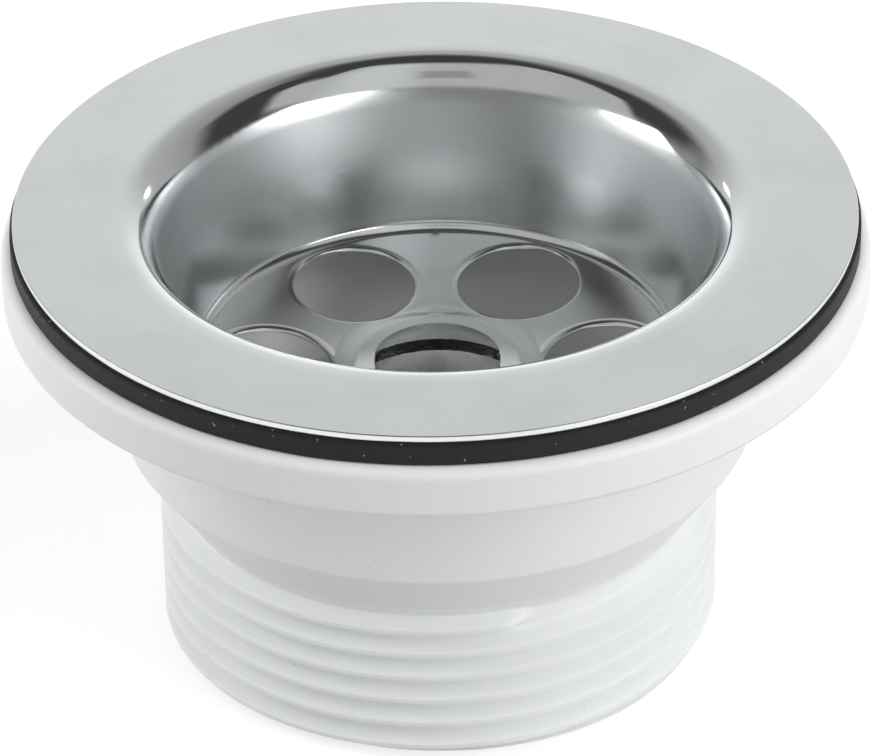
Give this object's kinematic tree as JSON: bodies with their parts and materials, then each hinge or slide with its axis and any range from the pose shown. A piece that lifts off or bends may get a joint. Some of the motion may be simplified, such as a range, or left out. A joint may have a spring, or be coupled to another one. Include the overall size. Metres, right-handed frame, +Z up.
{
  "type": "bath waste",
  "caption": "Round strainer waste for a bath outlet: a pressed steel flange and perforated cup clamped by a centre screw onto a white moulded body with a threaded tail.",
  "frame": {"origin": "centre of the lower end of the threaded tail, on the surface that the waste stands on", "axes": "+Z up along the waste's axis, out of the strainer; +X along the screwdriver slot, through the middles of two opposite drain holes; +Y across the slot, towards the web that stands alone on that side"},
  "size_m": [0.0722, 0.0722, 0.0396],
  "materials": {
    "polished_steel": "satin polished pressed stainless sheet",
    "black_rubber": "matt",
    "white_plastic": "semi-gloss moulded",
    "brass": "machined",
    "screw_steel": "turned"
  },
  "bodies": {
    "root": {"strainer_flange": "polished_steel", "rubber_washer": "black_rubber", "waste_body": "white_plastic", "threaded_insert": "brass", "clamp_screw": "screw_steel"}
  },
  "joints": []
}
